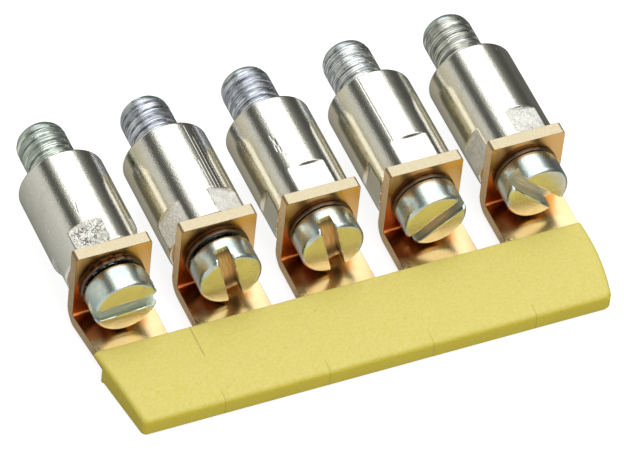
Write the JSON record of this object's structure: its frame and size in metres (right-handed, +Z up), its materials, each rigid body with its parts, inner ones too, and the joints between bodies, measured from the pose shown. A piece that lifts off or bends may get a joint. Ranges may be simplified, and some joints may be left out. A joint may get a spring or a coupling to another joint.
{
  "type": "earth terminal bar",
  "caption": "Screw-on comb bar that joins neighbouring rail terminals: folded copper comb in a yellow insulating strip, with plated spacer sleeves and captive slotted screws.",
  "frame": {"origin": "on the middle screw's axis, in the plane of the sleeves' far end faces, which press on the terminals", "axes": "+X along the bar, +Y along the screws towards their tips, +Z up along the plates"},
  "size_m": [0.0396, 0.0264, 0.0076],
  "materials": {
    "copper": "rolled copper alloy, bright faces, pale sheared edges",
    "yellow_plastic": "fine-grained matte moulding",
    "nickel": "nickel plate over turned metal, drawn lines, rough crimp flats",
    "zinc": "zinc plate with a pale blue passivation"
  },
  "bodies": {
    "bar": {"comb_bar": "copper", "insulation": "yellow_plastic", "sleeve_1": "nickel", "sleeve_2": "nickel", "sleeve_3": "nickel", "sleeve_4": "nickel", "sleeve_5": "nickel"},
    "screw_1_body": {"screw_1": "zinc"},
    "screw_2_body": {"screw_2": "zinc"},
    "screw_3_body": {"screw_3": "zinc"},
    "screw_4_body": {"screw_4": "zinc"},
    "screw_5_body": {"screw_5": "zinc"}
  },
  "joints": [
    {"name": "screw_1_turn", "type": "hinge", "parent": "bar", "child": "screw_1_body", "pos_m": [-0.0164, 0, 0], "axis": [0, 1, 0], "continuous": true},
    {"name": "screw_2_turn", "type": "hinge", "parent": "bar", "child": "screw_2_body", "pos_m": [-0.0082, 0, 0], "axis": [0, 1, 0], "continuous": true},
    {"name": "screw_3_turn", "type": "hinge", "parent": "bar", "child": "screw_3_body", "pos_m": [0, 0, 0], "axis": [0, 1, 0], "continuous": true},
    {"name": "screw_4_turn", "type": "hinge", "parent": "bar", "child": "screw_4_body", "pos_m": [0.0082, 0, 0], "axis": [0, 1, 0], "continuous": true},
    {"name": "screw_5_turn", "type": "hinge", "parent": "bar", "child": "screw_5_body", "pos_m": [0.0164, 0, 0], "axis": [0, 1, 0], "continuous": true}
  ]
}
